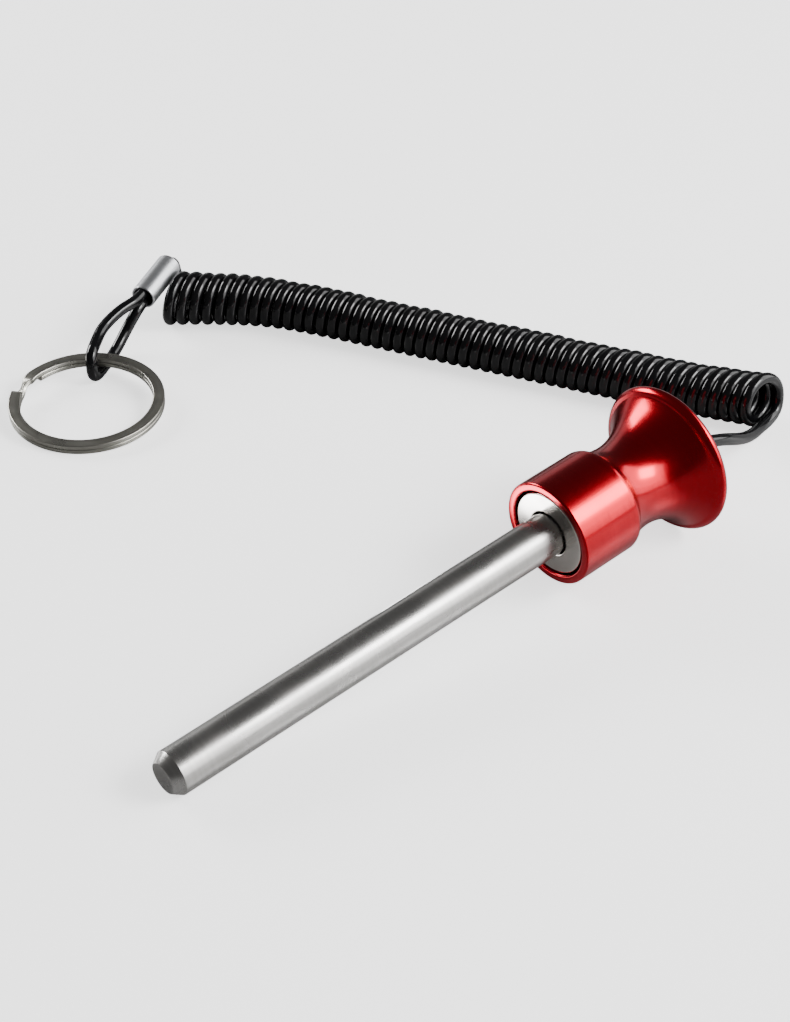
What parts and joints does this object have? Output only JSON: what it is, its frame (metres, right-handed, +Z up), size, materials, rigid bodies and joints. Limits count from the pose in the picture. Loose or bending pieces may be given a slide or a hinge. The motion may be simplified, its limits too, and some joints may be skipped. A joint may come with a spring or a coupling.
{
  "type": "magnetic locking pin with coiled tether",
  "caption": "Steel locking pin with a flared aluminium knob, a ring magnet in its collar, and a coiled tether that ends in a crimped loop and a split key ring.",
  "frame": {"origin": "on the surface that the pin lies on, under the middle of the pin from its tip to the back of its knob", "axes": "+X along the pin in plan, from its tip to its knob; +Z up from the surface; +Y towards the side on which the coil lies"},
  "size_m": [0.1976, 0.177, 0.0358],
  "materials": {
    "shank_steel": "fine turned stainless steel, satin",
    "knob_anodised": "turned and red anodised, glossy",
    "magnet_nickel": "nickel plated",
    "screw_steel": "zinc plated",
    "ferrule_aluminium": "satin",
    "cord_black": "glossy extruded black",
    "ring_nickel": "dull nickel plate"
  },
  "bodies": {
    "pin": {"shank": "shank_steel", "knob": "knob_anodised", "ring_magnet": "magnet_nickel", "shank_screw": "screw_steel", "lock_washer": "screw_steel", "back_cap": "knob_anodised", "stop_washer": "screw_steel", "stop_sleeve": "ferrule_aluminium", "tether_tail": "cord_black", "tether_coil": "cord_black"},
    "tether_end": {"ferrule": "ferrule_aluminium", "crimped_strands": "cord_black", "tether_loop": "cord_black"},
    "ring": {"key_ring": "ring_nickel"}
  },
  "joints": [
    {"name": "tether_stretch", "type": "slide", "parent": "pin", "child": "tether_end", "axis": [-0.5028, 0.8644, 0], "range_m": [0, 0.5], "stiffness_N_per_m": 6, "deforming": ["tether_coil"]},
    {"name": "ring_swing", "type": "hinge", "parent": "tether_end", "child": "ring", "pos_m": [0.00617, 0.14083, 0.00457], "axis": [-0.7588, 0.6513, 0], "range_deg": [0, 120], "deforming": ["tether_loop"]}
  ]
}
